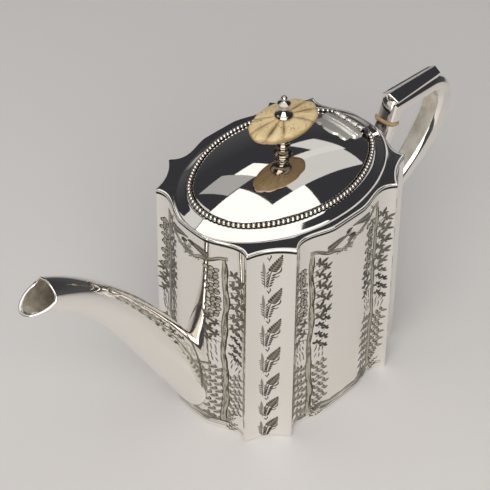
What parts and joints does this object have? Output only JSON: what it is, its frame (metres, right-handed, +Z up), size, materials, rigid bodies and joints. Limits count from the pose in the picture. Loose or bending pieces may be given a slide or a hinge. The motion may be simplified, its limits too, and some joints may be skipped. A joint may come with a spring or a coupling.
{
  "type": "silver teapot",
  "caption": "Straight-sided teapot with eight-cusped plan, engraved panels, hinged oval lid, lobed knob, slanting spout and insulated bevelled handle.",
  "frame": {"origin": "centre of the flat base, on the surface the teapot stands on", "axes": "+Z up, +X from spout to handle, -Y the side shown nearer in the picture"},
  "size_m": [0.2556, 0.0888, 0.162],
  "materials": {
    "silver": "polished silver plate with fine wear and tarnish in the engraving",
    "ivory": "aged ivory, satin, darker in the grooves",
    "brass": "plain turned brass"
  },
  "bodies": {
    "pot": {"body_wall": "silver", "base_plate": "silver", "shoulder": "silver", "lid_collar": "silver", "bead_ring": "silver", "spout": "silver", "upper_socket": "silver", "lower_socket": "silver", "upper_insulator": "ivory", "lower_insulator": "ivory", "handle": "silver", "thumb_rest": "silver", "tenon_pins": "silver", "hinge_body_leaf": "silver", "hinge_pin": "silver"},
    "lid_unit": {"hinge_lid_leaf": "silver", "lid": "silver", "lid_bezel": "silver", "knob_stem": "silver", "knob": "ivory", "knob_finial": "silver", "knob_stud": "brass", "knob_washer": "brass", "knob_nut": "brass"}
  },
  "joints": [
    {"name": "lid_hinge", "type": "hinge", "parent": "pot", "child": "lid_unit", "pos_m": [0.0426, 0, 0.1259], "axis": [0, 1, 0], "range_deg": [0, 105]}
  ]
}
